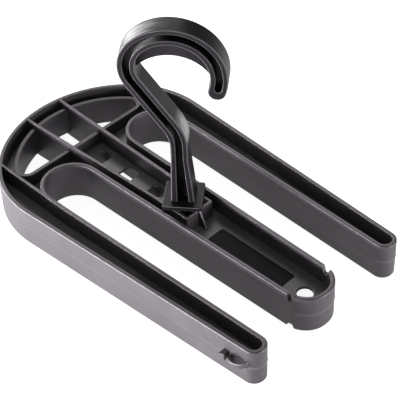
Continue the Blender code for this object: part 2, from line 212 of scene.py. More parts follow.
def moulded_plastic(name, colour, rubbed, rough_low, rough_high, specular, polish=None, dust_and_sheen=None, highlight_patches=(),
                    scratch_turn=0.0, scratch_stretch=(scratch_length, 1.0, 1.0)):
    """Satin plastic. Polish holds the middle level of a part, the distance of its rims and their roughness. Dust and
    sheen holds a pale colour laid on up-facing flats near that level, partly dust and partly painted light that
    brightens them, their distance from it and the X where most of it ends.
    Highlight patches hold the places, radii and outward ways of pale streaked patches: painted highlights. The
    scratches run along the wide ways of the stretch. Edges marked for the edge highlight are painted paler, as a
    highlight, and are smoother."""
    material = bpy.data.materials.new(name)
    material.use_nodes = True
    tree = material.node_tree
    coordinates = tree.nodes.new("ShaderNodeTexCoord")
    place = coordinates.outputs["Object"]
    surface_way = coordinates.outputs["Normal"]
    stretched = added(tree, "ShaderNodeMapping", "Vector", {
        "Vector": place, "Rotation": (0.0, 0.0, math.radians(scratch_turn)), "Scale": scratch_stretch},
        vector_type="TEXTURE")
    scratch = noise(tree, stretched, scratch_scale, scratch_detail)
    rub_share = ramp(tree, noise(tree, place, rub_scale, rub_detail), *rub_range, 0.0, 1.0)
    base = blended(tree, "RGBA", rub_share, colour, rubbed)
    rough = ramp(tree, noise(tree, place, flow_scale, flow_detail), *flow_range, rough_low, rough_high)
    fine = ramp(tree, scratch, *scratch_range, -scratch_roughness, scratch_roughness)
    roughness = maths(tree, "ADD", rough, fine)
    grain = grain_strength
    if polish:
        middle, reach, smooth = polish
        away = maths(tree, "ABSOLUTE", maths(tree, "SUBTRACT", part_of(tree, place, "Z"), middle))
        rim_share = ramp(tree, away, reach * polish_start_share, reach * polish_full_share, 0.0, 1.0)
        roughness = blended(tree, "FLOAT", rim_share, roughness, smooth)
        grain = blended(tree, "FLOAT", rim_share, grain, smooth_grain_strength)
        # Up-facing flats near the middle level take a pale grey-green: partly dust, partly painted light that
        # brightens them.
        dust_and_sheen_colour, dust_and_sheen_reach, dust_and_sheen_end = dust_and_sheen
        flat = ramp(tree, part_of(tree, surface_way, "Z"), *upward_range, 0.0, 1.0)
        near = ramp(tree, away, dust_and_sheen_reach, dust_and_sheen_reach * 2, 1.0, 0.0)
        before_end = ramp(tree, part_of(tree, place, "X"), dust_and_sheen_end, dust_and_sheen_end + dust_and_sheen_fade, 1.0, dust_and_sheen_beyond)
        dust_and_sheen_share = maths(tree, "MULTIPLY", maths(tree, "MULTIPLY", flat, near), before_end)
        base = blended(tree, "RGBA", dust_and_sheen_share, base, dust_and_sheen_colour)
    # Each patch paints a pale, streaked highlight on the faces turned its outward way.
    for centre, radius, outward in highlight_patches:
        patch = ramp(tree, measured(tree, "DISTANCE", place, centre), radius * highlight_patch_core_share, radius, 1.0, 0.0)
        outer = ramp(tree, measured(tree, "DOT_PRODUCT", surface_way, outward), *outward_range, 0.0, 1.0)
        streak = ramp(tree, scratch, *highlight_patch_streak_range, highlight_patch_least, 1.0)
        highlight_patch_share = maths(tree, "MULTIPLY", maths(tree, "MULTIPLY", patch, outer), streak)
        base = blended(tree, "RGBA", highlight_patch_share, base, highlight_patch_colour)
    # Marked rounded edges: a painted highlight in a paler colour, smoother and with less grain.
    edge_highlight = added(tree, "ShaderNodeAttribute", "Fac", {}, attribute_name="edge_highlight")
    base = blended(tree, "RGBA", edge_highlight, base, edge_highlight_colour)
    roughness = blended(tree, "FLOAT", edge_highlight, roughness, edge_highlight_roughness)
    grain = blended(tree, "FLOAT", edge_highlight, grain, smooth_grain_strength)
    grained = added(tree, "ShaderNodeBump", "Normal", {
        "Strength": grain, "Distance": grain_depth, "Height": noise(tree, place, grain_scale, grain_detail)})
    feed(tree, tree.nodes["Principled BSDF"], {
        "Base Color": base, "Roughness": roughness, "Normal": grained, "Specular IOR Level": specular,
        "Specular Tint": plastic_tint})
    return material


rim_roughness = 0.43
rim_polish = (middle_z, middle_z, rim_roughness)
# The floor's flats are painted a pale grey-green: partly dust, partly painted light that brightens them.
floor_dust_and_sheen_colour = (0.180, 0.186, 0.170, 1.0)
floor_dust_and_sheen = (floor_dust_and_sheen_colour, floor_thickness, datum_x + cross_wall_x)

black_frame = moulded_plastic("black_frame", moulding_colour, rubbed_colour, moulding_roughness_low,
                              moulding_roughness_high, moulding_specular, rim_polish, floor_dust_and_sheen)


def side(start, end):
    start = Vector(start)
    return start, (Vector(end) - start).normalized()


def crossing(first, second):
    """Where two sides meet when both are drawn on."""
    point, along = first
    other, across = second
    reach = (other - point).cross(across) / along.cross(across)
    return point + along * reach


def rounded(sides, radii, inset=0.0, step=curve_step):
    """A closed outline with its interior on the left; radii holds the radius where each side meets the next."""
    moved = [(point + Vector((-along.y, along.x)) * inset, along) for point, along in sides]
    points = []
    for index, current in enumerate(moved):
        following = moved[(index + 1) % len(moved)]
        corner = crossing(current, following)
        turn = current[1].angle_signed(following[1])
        left_turn = turn < 0
        radius = radii[index] - inset if left_turn else radii[index] + inset
        if radius <= 0:
            points.append(corner)
            continue
        start = corner - current[1] * radius * math.tan(abs(turn) / 2)
        normal = Vector((-current[1].y, current[1].x)) * (1 if left_turn else -1)
        centre = start + normal * radius
        count = max(2, math.ceil(math.degrees(abs(turn)) / step))
        for part in range(count + 1):
            spin = abs(turn) * part / count * (1 if left_turn else -1)
            point = centre + Matrix.Rotation(spin, 2) @ (start - centre)
            if not points or (point - points[-1]).length > same_place:
                points.append(point)
    return points


def frame_outline(inset):
    """The outside edge, down both slots and round all three arms."""
    crown_centre = Vector((apex_x + crown_radius, 0.0))
    angle = math.radians(crown_half_angle)
    crown_point = crown_centre + Vector((-math.cos(angle), math.sin(angle))) * crown_radius
    crown_along = Vector((-math.sin(angle), -math.cos(angle)))
    outer_side = side((tip_x, side_y_at_tip), (0.0, side_y_at_datum))
    shoulder = crossing(outer_side, (crown_point, crown_along))
    shoulder_radius = (shoulder - crown_point).length / math.tan(outer_side[1].angle(crown_along) / 2)
    half = [
        side((centre_tip_x, 0.0), (centre_tip_x, slot_inner_y)),
        side((centre_tip_x, slot_inner_y_at_tip), (0.0, slot_inner_y)),
        side((slot_end_x, 0.0), (slot_end_x, slot_outer_y)),
        side((0.0, slot_outer_y), (slot_taper_x, slot_outer_y)),
        side((slot_taper_x, slot_outer_y), (tip_x, slot_outer_y_at_tip)),
        side((tip_x, 0.0), (tip_x, side_y_at_datum)),
        outer_side,
        (crown_point, crown_along),
    ]
    radii = [centre_tip_radius, slot_end_radius, slot_end_radius, taper_radius, arm_tip_radius, arm_tip_radius,
             shoulder_radius, crown_radius]
    near = [(Vector((p.x, -p.y)), Vector((-a.x, a.y))) for p, a in reversed(half[1:])]
    return rounded(half + near, radii + list(reversed(radii[:-1])), inset)


def bow_outline(inset):
    """The bow-shaped opening, whose round side follows the arch."""
    angle = math.radians(bow_half_angle)
    centre = Vector((bow_centre_x, 0.0))
    far_point = centre + Vector((-math.cos(angle), math.sin(angle))) * bow_radius
    sides = [
        side((bow_flat_x, 0.0), (bow_flat_x, bow_radius)),
        (far_point, Vector((-math.sin(angle), -math.cos(angle)))),
        (Vector((far_point.x, -far_point.y)), Vector((math.sin(angle), -math.cos(angle)))),
    ]
    return rounded(sides, [bow_corner_radius, bow_radius, bow_corner_radius], inset)


def strip(start, end, thickness):
    start = Vector(start)
    end = Vector(end)
    across = (end - start).orthogonal().normalized() * thickness / 2
    return [start - across, end - across, end + across, start + across]


def mirrored(points):
    return [Vector((point.x, -point.y)) for point in reversed(points)]


def slab(name, points, low, high):
    """A plain solid between two levels with the given outline."""
    shape = bmesh.new()
    floor_ring = [shape.verts.new((p.x, p.y, low)) for p in points]
    roof_ring = [shape.verts.new((p.x, p.y, high)) for p in points]
    shape.faces.new(list(reversed(floor_ring)))
    shape.faces.new(roof_ring)
    join_rings(shape, floor_ring, roof_ring)
    return finished(name, shape)


def finished(name, shape):
    """Turns a closed shape's faces outward and makes it an object."""
    bmesh.ops.recalc_face_normals(shape, faces=shape.faces)
    if shape.calc_volume(signed=True) < 0:
        bmesh.ops.reverse_faces(shape, faces=shape.faces)
    mesh = bpy.data.meshes.new(name)
    shape.to_mesh(mesh)
    shape.free()
    obj = bpy.data.objects.new(name, mesh)
    bpy.context.scene.collection.objects.link(obj)
    return obj


def settle(obj, modifier):
    """Makes what a modifier gives the object's plain mesh."""
    bpy.context.view_layer.update()
    mesh = bpy.data.meshes.new_from_object(obj.evaluated_get(bpy.context.evaluated_depsgraph_get()))
    obj.modifiers.remove(modifier)
    obj.data = mesh


def combine(target, tool, operation):
    """Joins tool to target or cuts it out, and removes the tool."""
    change = target.modifiers.new(operation, "BOOLEAN")
    change.operation = operation
    change.solver = "EXACT"
    change.object = tool
    settle(target, change)
    shape = bmesh.new()
    shape.from_mesh(target.data)
    bmesh.ops.remove_doubles(shape, verts=shape.verts, dist=same_place)
    bmesh.ops.dissolve_degenerate(shape, dist=same_place, edges=shape.edges)
    shape.to_mesh(target.data)
    shape.free()
    bpy.data.objects.remove(tool, do_unlink=True)


def top_loops(obj, level):
    """The outlines of every flat face at a level, each with its interior on the left."""
    shape = bmesh.new()
    shape.from_mesh(obj.data)
    bmesh.ops.remove_doubles(shape, verts=shape.verts, dist=same_place)
    after = {}
    for face in shape.faces:
        if face.normal.z > level_face and abs(face.calc_center_median().z - level) < same_place:
            for corner in face.loops:
                other = corner.link_loop_radial_next.face
                if other.normal.z < level_face:
                    after[corner.vert] = corner.link_loop_next.vert
    loops = []
    while after:
        start = next(iter(after))
        points = []
        vert = start
        while vert in after:
            points.append(vert.co.xy.copy())
            vert = after.pop(vert)
        loops.append(points)
    shape.free()
    return loops


def without_flat_points(points):
    kept = []
    for index, point in enumerate(points):
        before = (point - points[index - 1]).normalized()
        following = (points[(index + 1) % len(points)] - point).normalized()
        if before.length > 0 and abs(before.angle_signed(following)) > straight_turn:
            kept.append(point)
    return kept


def softened(points, radius, least_turn):
    """Rounds the sharp corners of an outline, as far as its sides leave room."""
    result = []
    for index, point in enumerate(points):
        before = points[index - 1] - point
        following = points[(index + 1) % len(points)] - point
        turn = math.pi - before.angle(following)
        if math.degrees(turn) < least_turn:
            result.append(point)
            continue
        room = min(radius * math.tan(turn / 2), before.length * corner_room, following.length * corner_room)
        first = point + before.normalized() * room
        last = point + following.normalized() * room
        count = max(2, math.ceil(math.degrees(turn) / small_step))
        bend = room / math.tan(turn / 2)
        centre = point + (before.normalized() + following.normalized()).normalized() * bend / math.cos(turn / 2)
        spin = (first - centre).angle_signed(last - centre)
        for part in range(count + 1):
            result.append(centre + Matrix.Rotation(-spin * part / count, 2) @ (first - centre))
    return result


def ring(shape, points, level, spread=0.0, extra=None):
    """A loop of corners at a level, moved out from an outline by spread; extra adds to it corner by corner."""
    corners = []
    for index, point in enumerate(points):
        before = (point - points[index - 1]).normalized()
        following = (points[(index + 1) % len(points)] - point).normalized()
        first = Vector((before.y, -before.x))
        second = Vector((following.y, -following.x))
        mitre = (first + second) / max(1 + first.dot(second), least_mitre)
        move = spread + (extra(point) if extra else 0.0)
        corners.append(shape.verts.new((point.x + mitre.x * move, point.y + mitre.y * move, level)))
    return corners


def join_rings(shape, lower, upper):
    count = len(lower)
    for index in range(count):
        following = (index + 1) % count
        shape.faces.new((lower[index], lower[following], upper[following], upper[index]))


def stack(shape, points, profile, extra=None):
    """Rings through a list of levels and spreads, joined in order; returns the first and the last."""
    first = None
    last = None
    for level, spread in profile:
        current = ring(shape, points, level, spread, extra.get(level) if extra else None)
        if last:
            join_rings(shape, last, current)
        else:
            first = current
        last = current
    return first, last


def fill(shape, rings):
    """A flat face between rings, the first of them round the others."""
    corners = [corner for ring_corners in rings for corner in ring_corners]
    edges = []
    start = 0
    for ring_corners in rings:
        count = len(ring_corners)
        edges += [(start + index, start + (index + 1) % count) for index in range(count)]
        start += count
    plan = [corner.co.xy for corner in corners]
    flat = delaunay_2d_cdt(plan, edges, [], 0, same_place / 100)
    outlines = [[corner.co.xy for corner in ring_corners] for ring_corners in rings]
    for triangle in flat[2]:
        middle = (flat[0][triangle[0]] + flat[0][triangle[1]] + flat[0][triangle[2]]) / 3
        if inside(middle, outlines[0]) and not any(inside(middle, hole) for hole in outlines[1:]):
            shape.faces.new([corners[flat[3][index][0]] for index in triangle])


def quarter(steps):
    """Shares along and up a quarter of a round, from its upright end to its flat end."""
    for part in range(steps + 1):
        angle = math.pi / 2 * part / steps
        yield 1 - math.cos(angle), math.sin(angle)


def upper_edge(level, drop, inward, steps):
    """Levels and spreads up round an edge whose flat end is at a level."""
    return [(level - drop * (1 - up_share), inward * along_share) for along_share, up_share in quarter(steps)]


def lower_edge(level, rise, inward, steps):
    """Levels and spreads round an edge from its flat end at a level up to its upright end."""
    return [(level + rise * (1 - up_share), inward * along_share)
            for along_share, up_share in reversed(list(quarter(steps)))]


def solid(name, points, profile):
    """A closed solid through a list of levels and spreads."""
    shape = bmesh.new()
    foot_ring, roof_ring = stack(shape, points, profile)
    fill(shape, [foot_ring])
    fill(shape, [roof_ring])
    return finished(name, shape)


def cross_bar(corners, half_width):
    """A bar square across the centre line with an outline in X and Z, and its near and far corners."""
    shape = bmesh.new()
    near = [shape.verts.new((x, -half_width, z)) for x, z in corners]
    far = [shape.verts.new((x, half_width, z)) for x, z in corners]
    shape.faces.new(near)
    shape.faces.new(list(reversed(far)))
    join_rings(shape, near, far)
    return shape, near, far


def inside(point, polygon):
    crossed = False
    for index, corner in enumerate(polygon):
        other = polygon[index - 1]
        if (corner.y > point.y) != (other.y > point.y):
            reach = (point.y - corner.y) / (other.y - corner.y)
            if point.x < corner.x + (other.x - corner.x) * reach:
                crossed = not crossed
    return crossed


def disc(x, radius, step=small_step):
    count = math.ceil(360 / step)
    turn = 2 * math.pi / count
    return [Vector((x + radius * math.cos(turn * i), radius * math.sin(turn * i))) for i in range(count)]


def rectangle(low_x, high_x, low_y, high_y, corner):
    sides = [
        side((low_x, low_y), (high_x, low_y)),
        side((high_x, low_y), (high_x, high_y)),
        side((high_x, high_y), (low_x, high_y)),
        side((low_x, high_y), (low_x, low_y)),
    ]
    return rounded(sides, [corner] * len(sides), step=small_step)


def centred_rectangle(length, width, corner):
    return rectangle(-length / 2, length / 2, -width / 2, width / 2, corner)


def long_rib_half_y(x):
    """How far a long rib's middle stands from the centre line; past its bend it runs straight along."""
    return long_rib_y + (long_rib_y_at_cross - long_rib_y) * min(x / long_rib_bend_x, 1)


rib_stations = (long_rib_start_x, long_rib_bend_x, cross_wall_x + rib_thickness / 2)
long_rib = [Vector((x, long_rib_half_y(x) - rib_thickness / 2)) for x in rib_stations]
long_rib += [Vector((x, long_rib_half_y(x) + rib_thickness / 2)) for x in reversed(rib_stations)]
arch_rib = strip((arch_rib_start_x, arch_rib_y), (arch_rib_end_x, arch_rib_y), rib_thickness)
cross_wall = strip((cross_wall_x, -long_rib_y_at_cross), (cross_wall_x, long_rib_y_at_cross), rib_thickness)
floor_ribs = [long_rib, mirrored(long_rib), arch_rib, mirrored(arch_rib), cross_wall]

channels = slab("channels", frame_outline(wall_thickness), 0.0, frame_height)
for rib in floor_ribs:
    combine(channels, slab("rib", rib, -frame_height, 2 * frame_height), "DIFFERENCE")
channel_outlines = [softened(without_flat_points(points), corner_fillet, corner_turn)
                    for points in top_loops(channels, frame_height)]
bpy.data.objects.remove(channels, do_unlink=True)


def parting(share):
    """How far the parting line stands out, by place: it shows round the tips only."""
    def height(point):
        reach = (point.x - parting_start_x) / (parting_full_x - parting_start_x)
        reach = min(max(reach, 0.0), 1.0)
        return parting_height * share * reach * reach * (3 - 2 * reach)
    return height


frame_shape = bmesh.new()
outer_profile = lower_edge(0.0, rim_outer_drop, -rim_outer_width, rim_steps)
parting_shoulder_z = middle_z - parting_half_width / 4
for level in (middle_z - parting_half_width, parting_shoulder_z, middle_z, middle_z + parting_half_width * 2):
    outer_profile.append((level, 0.0))
outer_profile += upper_edge(frame_height, rim_outer_drop, -rim_outer_width, rim_steps)
bulges = {middle_z: parting(1.0), parting_shoulder_z: parting(parting_shoulder_share)}
outer_bottom, outer_top = stack(frame_shape, frame_outline(0.0), outer_profile, bulges)

rim_profile = upper_edge(frame_height, rim_inner_radius, rim_inner_radius, rim_steps)
rim_mirror = [(frame_height - level, spread) for level, spread in reversed(rim_profile)]
top_rings = [outer_top]
bottom_rings = [outer_bottom]
upper_floor_rings = []
lower_floor_rings = []
for outline in channel_outlines:
    floor_ring, rim_ring = stack(frame_shape, outline, [(floor_top, 0.0)] + rim_profile)
    upper_floor_rings.append((outline, floor_ring))
    top_rings.append(rim_ring)
    rim_ring, floor_ring = stack(frame_shape, outline, rim_mirror + [(floor_bottom, 0.0)])
    lower_floor_rings.append((outline, floor_ring))
    bottom_rings.append(rim_ring)
fill(frame_shape, top_rings)
fill(frame_shape, bottom_rings)

# The round hole at the centre tip has a low collar above the floor.
tip_hole_x = 0.272
tip_hole_radius = 0.0084
tip_hole_rim_radius = 0.0106
tip_hole_rim_height = 0.0008
hole_edge = 0.0005
edge_steps = 3
collar_top = floor_top + tip_hole_rim_height
collar_profile = [(floor_top, 0.0)] + upper_edge(collar_top, hole_edge, -hole_edge, edge_steps)
collar_foot, collar_roof = stack(frame_shape, disc(tip_hole_x, tip_hole_rim_radius), collar_profile)
hole_profile = lower_edge(floor_bottom, hole_edge, hole_edge, edge_steps)
hole_profile += upper_edge(collar_top, hole_edge, hole_edge, edge_steps)
hole_foot, hole_roof = stack(frame_shape, disc(tip_hole_x, tip_hole_radius), hole_profile)
fill(frame_shape, [collar_roof, hole_roof])

# The badge's recess is a shallow tray in the floor.
badge_start_x = 0.151
badge_end_x = 0.250
badge_half_width = 0.011
badge_corner = 0.003
badge_recess_depth = 0.001
recess_edge = 0.0003
tray = rectangle(badge_start_x, badge_end_x, -badge_half_width, badge_half_width, badge_corner)
tray_profile = [(floor_top - badge_recess_depth, 0.0)] + upper_edge(floor_top, recess_edge, recess_edge, edge_steps)
tray_foot, tray_rim = stack(frame_shape, tray, tray_profile)
fill(frame_shape, [tray_foot])

for floor_rings, openings in ((upper_floor_rings, [collar_foot, tray_rim]), (lower_floor_rings, [hole_foot])):
    for outline, floor_ring in floor_rings:
        holds_tip = inside(Vector((tip_hole_x, 0.0)), outline)
        fill(frame_shape, [floor_ring] + (openings if holds_tip else []))
frame_moulding = finished("frame_moulding", frame_shape)

# The arch is open through the floor inside a lower wall, which the long ribs cross at full height.
cut_margin = 0.0005
bow_rim_z = frame_height - bow_rim_drop
bow_floor = slab("bow_floor", bow_outline(0.0), floor_bottom - cut_margin, floor_top + cut_margin)
for rib in (long_rib, mirrored(long_rib)):
    combine(bow_floor, slab("rib", rib, -frame_height, 2 * frame_height), "DIFFERENCE")
combine(frame_moulding, bow_floor, "DIFFERENCE")
bow_shape = bmesh.new()
bow_rims = []
for hand in (-1, 1):
    rim_rise = upper_edge(bow_rim_z, rim_inner_radius, hand * rim_inner_radius, rim_steps)
    rim_fall = [(frame_height - level, spread) for level, spread in reversed(rim_rise)]
    bow_rims.append(stack(bow_shape, bow_outline(hand * bow_wall_thickness / 2), rim_fall + rim_rise))
for rings in zip(*bow_rims):
    fill(bow_shape, rings)
combine(frame_moulding, finished("bow_wall", bow_shape), "UNION")

# The hook's four holes are one rounded hole repeated along the middle of the floor.
hook_hole_first_x = -0.0215
hook_hole_pitch = 0.0419
hook_hole_count = 4
hook_hole_length = 0.0173
hook_hole_width = 0.0262
hook_hole_corner = 0.005
under_rib_offset = 0.0120
under_rib_holes = (0, 2)

punch_profile = [(floor_bottom - hole_edge, hole_edge * 2)]
punch_profile += lower_edge(floor_bottom, hole_edge, hole_edge, edge_steps)
punch_profile += upper_edge(floor_top, hole_edge, hole_edge, edge_steps)
punch_profile.append((floor_top + hole_edge, hole_edge * 2))
punch_outline = centred_rectangle(hook_hole_length, hook_hole_width, hook_hole_corner)
punch = solid("hole_punch", punch_outline, punch_profile)

row_tree = bpy.data.node_groups.new("hole_row", "GeometryNodeTree")
for name, kind in (("Geometry", "Geometry"), ("Hole count", "Int"), ("First hole", "Float"),
                   ("Hole pitch", "Float"), ("Material", "Material")):
    row_tree.interface.new_socket(name, in_out="INPUT", socket_type="NodeSocket" + kind)
row_tree.interface.new_socket("Geometry", in_out="OUTPUT", socket_type="NodeSocketGeometry")
row_in = row_tree.nodes.new("NodeGroupInput").outputs
hole_line = added(row_tree, "GeometryNodeMeshLine", "Mesh", {
    "Count": row_in["Hole count"],
    "Start Location": added(row_tree, "ShaderNodeCombineXYZ", "Vector", {"X": row_in["First hole"]}),
    "Offset": added(row_tree, "ShaderNodeCombineXYZ", "Vector", {"X": row_in["Hole pitch"]})}, mode="OFFSET")
hole_places = added(row_tree, "GeometryNodeInstanceOnPoints", "Instances", {
    "Points": hole_line, "Instance": row_in["Geometry"]})
hole_solid = added(row_tree, "GeometryNodeRealizeInstances", "Geometry", {"Geometry": hole_places})
hole_finish = added(row_tree, "GeometryNodeSetMaterial", "Geometry", {
    "Geometry": hole_solid, "Material": row_in["Material"]})
feed(row_tree, row_tree.nodes.new("NodeGroupOutput"), {"Geometry": hole_finish})

row = punch.modifiers.new("hole_row", "NODES")
row.node_group = row_tree
row_values = {"Hole count": hook_hole_count, "First hole": hook_hole_first_x, "Hole pitch": hook_hole_pitch,
              "Material": black_frame}
for item in row_tree.interface.items_tree:
    if item.in_out == "INPUT" and item.name in row_values:
        row[item.identifier] = row_values[item.name]
settle(punch, row)
combine(frame_moulding, punch, "DIFFERENCE")

# Two cross ribs stand under the floor, each just behind a hole.
for index in under_rib_holes:
    x = hook_hole_first_x + hook_hole_pitch * index - under_rib_offset
    under_rib = strip((x, -long_rib_half_y(x)), (x, long_rib_half_y(x)), rib_thickness)
    combine(frame_moulding, slab("under_rib", under_rib, rim_inner_radius / 2, floor_top - floor_thickness / 2),
            "UNION")

# A brace runs from the cross wall's top down to the floor.
round_bevel = 0.5
gusset_low = floor_top - floor_thickness / 2
gusset_profile = [(cross_wall_x, gusset_low), (gusset_foot_x, gusset_low), (gusset_foot_x, floor_top),
                  (cross_wall_x + rib_thickness / 2, frame_height - rim_inner_radius / 2),
                  (cross_wall_x, frame_height - rim_inner_radius / 2)]
gusset_shape, near_corners, far_corners = cross_bar(gusset_profile, rib_thickness / 2)
slope_edges = [gusset_shape.edges.get(corners[2:4]) for corners in (near_corners, far_corners)]
bmesh.ops.bevel(gusset_shape, geom=slope_edges, offset=rim_inner_radius, segments=edge_steps, affect="EDGES",
                profile=round_bevel)
combine(frame_moulding, finished("gusset", gusset_shape), "UNION")

# Cord notches are cut through both walls of the centre arm near its tip, above and below.
notch_x = 0.277
notch_width = 0.0098
notch_foot_width = 0.0048
notch_depth_top = 0.0085
notch_depth_bottom = 0.0055
notch_margin = 0.004
for edge_z, inward, depth in ((frame_height, -1, notch_depth_top), (0.0, 1, notch_depth_bottom)):
    spread = (notch_width - notch_foot_width) / depth * notch_margin / 2
    corners = [(notch_x - notch_width / 2 - spread, edge_z - inward * notch_margin),
               (notch_x - notch_foot_width / 2, edge_z + inward * depth),
               (notch_x + notch_foot_width / 2, edge_z + inward * depth),
               (notch_x + notch_width / 2 + spread, edge_z - inward * notch_margin)]
    combine(frame_moulding, finished("notch", cross_bar(corners, slot_inner_y)[0]), "DIFFERENCE")

# Each outer arm has a cord cleat near its tip: a post, and beside it a scoop with a rounded lip.
post_x = 0.2700
post_width = 0.0054
post_reach = 0.0088
post_reach_at_cup = 0.0065
post_bottom = 0.0205
post_height = 0.0092
post_edge = 0.0005
cup_x = 0.2850
cup_length = 0.0250
cup_reach = 0.0085
cup_rim_z = 0.0235
cup_depth = 0.0095
cup_wall = 0.0024
cup_hollow_depth = 0.0006
cup_tilt = 18
lip_edge = 0.0007
scoop_depth = 0.0028
scoop_rise = 0.0090
ball_segments = 48
ball_rings = 24
clear_of_face = 0.00013


def side_half_y(x):
    """How far an outer arm's outer face stands from the centre line."""
    return side_y_at_datum + (side_y_at_tip - side_y_at_datum) * x / tip_x


def ball(name, centre, size):
    shape = bmesh.new()
    bmesh.ops.create_uvsphere(shape, u_segments=ball_segments, v_segments=ball_rings, radius=1.0)
    placing = Matrix.Translation(centre) @ Matrix.Diagonal((*size, 1.0))
    bmesh.ops.transform(shape, matrix=placing, verts=shape.verts)
    return finished(name, shape)


def scoop(hand):
    """The lower half of an egg with a shallow top and a rounded lip, set on an arm's outer face. Its top rises
    toward the arm's tip."""
    face_y = hand * (side_half_y(cup_x) + clear_of_face)
    lip_z = cup_rim_z - lip_edge
    lip_share = lip_edge / cup_reach
    inner_share = 1 - cup_wall / cup_reach
    angles = [math.pi / 2 * step / ball_rings for step in range(ball_rings)]
    levels = [(math.cos(angle), -math.sin(angle) * cup_depth) for angle in reversed(angles)]
    levels += [(1 - lip_share * along, lip_edge * up) for along, up in quarter(edge_steps)]
    levels += [(inner_share + lip_share * along, lip_edge * up) for along, up in reversed(list(quarter(edge_steps)))]
    levels += [(math.cos(angle) * inner_share, -math.sin(angle) * cup_hollow_depth) for angle in angles]
    turns = [2 * math.pi * index / ball_segments for index in range(ball_segments)]
    shape = bmesh.new()
    loops = [[shape.verts.new((cup_x + cup_length / 2 * share * math.cos(turn),
                               face_y + cup_reach * share * math.sin(turn), lip_z + rise)) for turn in turns]
             for share, rise in levels]
    for lower, upper in zip(loops, loops[1:]):
        join_rings(shape, lower, upper)
    for corners, depth in ((loops[0], cup_depth), (loops[-1], cup_hollow_depth)):
        pole = shape.verts.new((cup_x, face_y, lip_z - depth))
        for index, corner in enumerate(corners):
            shape.faces.new((corners[index - 1], corner, pole))
    low_end = Matrix.Translation((cup_x - cup_length / 2, 0.0, cup_rim_z))
    tilt = Matrix.Rotation(-math.radians(cup_tilt), 4, "Y")
    bmesh.ops.transform(shape, matrix=low_end @ tilt @ low_end.inverted(), verts=shape.verts)
    return finished("scoop", shape)


for hand in (1, -1):
    face_y = side_half_y(post_x)
    root_y = face_y - wall_thickness / 2
    plan = [Vector((post_x + side_way * post_width / 2, y)) for side_way, y in (
        (-1, root_y), (1, root_y), (1, face_y + post_reach_at_cup), (-1, face_y + post_reach))]
    if hand < 0:
        plan = mirrored(plan)
    post = slab("post", plan, post_bottom, post_bottom + post_height)
    post_shape = bmesh.new()
    post_shape.from_mesh(post.data)
    bmesh.ops.bevel(post_shape, geom=post_shape.edges[:], offset=post_edge, segments=edge_steps, affect="EDGES",
                    profile=round_bevel)
    bpy.data.objects.remove(post, do_unlink=True)
    cup_face_y = side_half_y(cup_x)
    hollow_size = (cup_length / 2 - cup_wall, scoop_depth, scoop_rise)
    hollow_y = hand * (cup_face_y + clear_of_face)
    combine(frame_moulding, ball("hollow", (cup_x, hollow_y, cup_rim_z), hollow_size), "DIFFERENCE")
    cup = scoop(hand)
    inner_edge = cup_face_y - wall_thickness / 2
    trim = rectangle(cup_x - cup_length, cup_x + cup_length, 0.0, inner_edge, 0.0)
    if hand < 0:
        trim = mirrored(trim)
    combine(cup, slab("trim", trim, 0.0, frame_height), "DIFFERENCE")
    combine(frame_moulding, cup, "UNION")
    combine(frame_moulding, finished("post", post_shape), "UNION")


# The rounded edges carry a painted highlight, paler and smoother, apart from the frame's rims.
least_highlight_turn = 16.5
most_highlight_turn = 33
highlight_reach = 0.018
sharp_turn = 32


def mark_edge_highlight(mesh, highlight_low, highlight_high):
    """Marks the rounded edges between two levels for the painted highlight; their narrow faces turn more from one
    to the next.
    """
    shape = bmesh.new()
    shape.from_mesh(mesh)
    layer = shape.faces.layers.float.new("edge_highlight")
    for face in shape.faces:
        level = face.calc_center_median().z
        if highlight_low < level < highlight_high:
            turns = [math.degrees(edge.calc_face_angle_signed(0.0)) for edge in face.edges]
            if any(least_highlight_turn < turn < most_highlight_turn for turn in turns):
                face[layer] = 1.0
    shape.to_mesh(mesh)
    shape.free()


def dress(obj, material, place, body, node, highlight_low, highlight_high):
    """Places a finished moulding, gives it its plastic and smooth rounds, and says what it stands for."""
    shape = bmesh.new()
    shape.from_mesh(obj.data)
    bmesh.ops.remove_doubles(shape, verts=shape.verts, dist=same_place)
    bmesh.ops.transform(shape, matrix=place, verts=shape.verts)
    bmesh.ops.recalc_face_normals(shape, faces=shape.faces)
    shape.to_mesh(obj.data)
    shape.free()
    mark_edge_highlight(obj.data, highlight_low, highlight_high)
    obj.data.materials.clear()
    obj.data.materials.append(material)
    for polygon in obj.data.polygons:
        polygon.material_index = 0
    obj.data.shade_smooth()
    obj.data.set_sharp_from_angle(angle=math.radians(sharp_turn))
    weighting = obj.modifiers.new("even_rounds", "WEIGHTED_NORMAL")
    weighting.keep_sharp = True
    settle(obj, weighting)
    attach(obj, body)
    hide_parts(node)


dress(frame_moulding, black_frame, Matrix.Translation((datum_x, 0.0, 0.0)), "frame", "frame",
      middle_z - highlight_reach, middle_z + highlight_reach)


# Badge
# A thin, smooth and blank plate of a plastic that is blacker than the frame's. It lies in the tray in the centre
# arm's floor and is glued down there.

badge_gap = 0.0003
badge_edge = 0.0002
badge_colour = (0.010, 0.008, 0.011, 1.0)
badge_roughness_low = 0.46
badge_roughness_high = 0.52
badge_specular = 0.08

badge_black = moulded_plastic("badge_black", badge_colour, badge_colour, badge_roughness_low,
                              badge_roughness_high, badge_specular)
plate = rectangle(badge_start_x + badge_gap, badge_end_x - badge_gap, -badge_half_width + badge_gap,
                  badge_half_width - badge_gap, badge_corner - badge_gap)
plate_profile = [(floor_top - badge_recess_depth + badge_gap, 0.0)]
plate_profile += upper_edge(floor_top, badge_edge, -badge_edge, edge_steps)
badge_plate = solid("badge_plate", plate, plate_profile)
dress(badge_plate, badge_black, Matrix.Translation((datum_x, 0.0, 0.0)), "frame", "badge", 0.0,
      frame_height)


# Hook moulding
# One moulding of the same plastic: a blade of I-section bent over at the top, with a web inside the bend that
# a rail bears on. It stands on a square foot, and its neck and key reach through a hole in the frame's floor.
# The stem widens toward the foot, most of all under the bend, and small fillets join its flanges to the foot.

